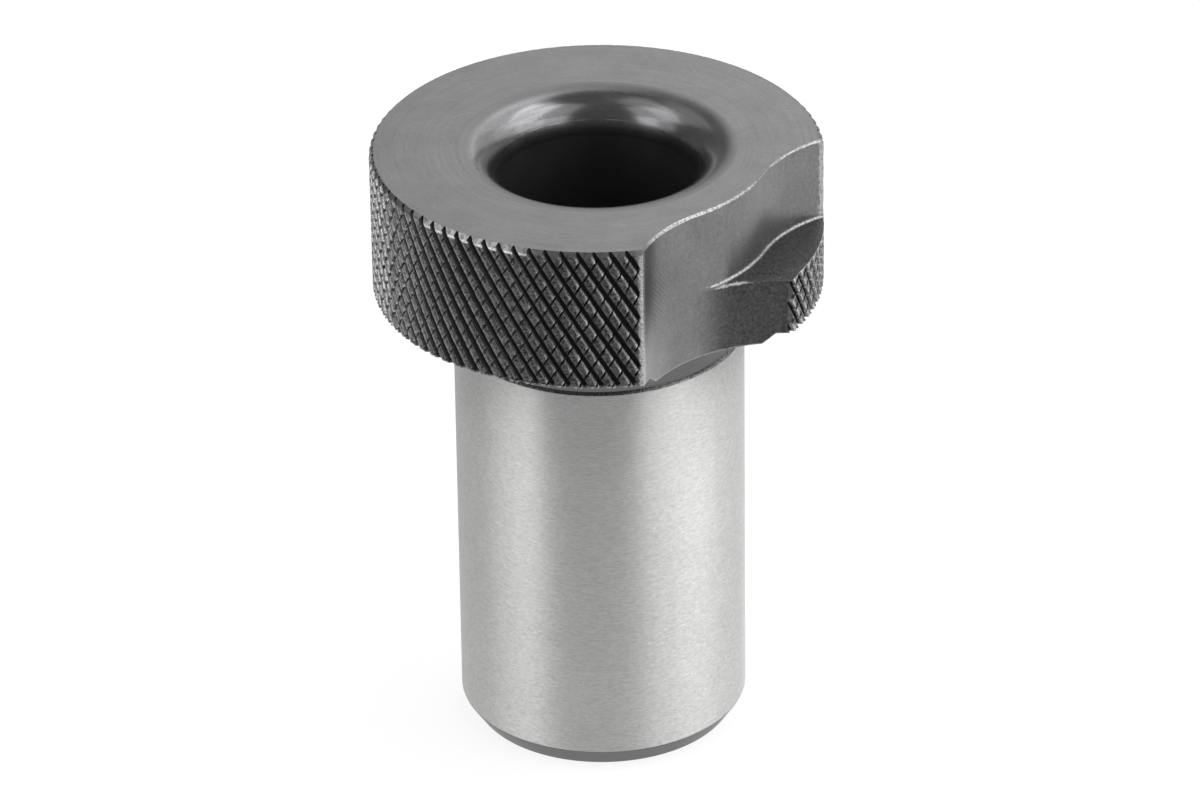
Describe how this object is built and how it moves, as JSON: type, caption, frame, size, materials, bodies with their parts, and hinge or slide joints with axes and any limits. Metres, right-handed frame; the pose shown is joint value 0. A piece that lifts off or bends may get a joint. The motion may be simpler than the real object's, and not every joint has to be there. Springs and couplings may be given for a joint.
{
  "type": "quick-change drill bushing",
  "caption": "Quick-change drill bush with a knurled head, a milled recess for a lock screw, a round-mouthed bore and a ground shank.",
  "frame": {"origin": "on the bush axis, in the plane of the head's underside that seats on the jig plate", "axes": "+Z along the bush axis from the shank up through the head; the lock recess lies between -Y and +X"},
  "size_m": [0.034, 0.034, 0.048],
  "materials": {
    "steel": "hardened steel, dark head and ground bright shank"
  },
  "bodies": {
    "root": {"drill_bushing": "steel"}
  },
  "joints": []
}
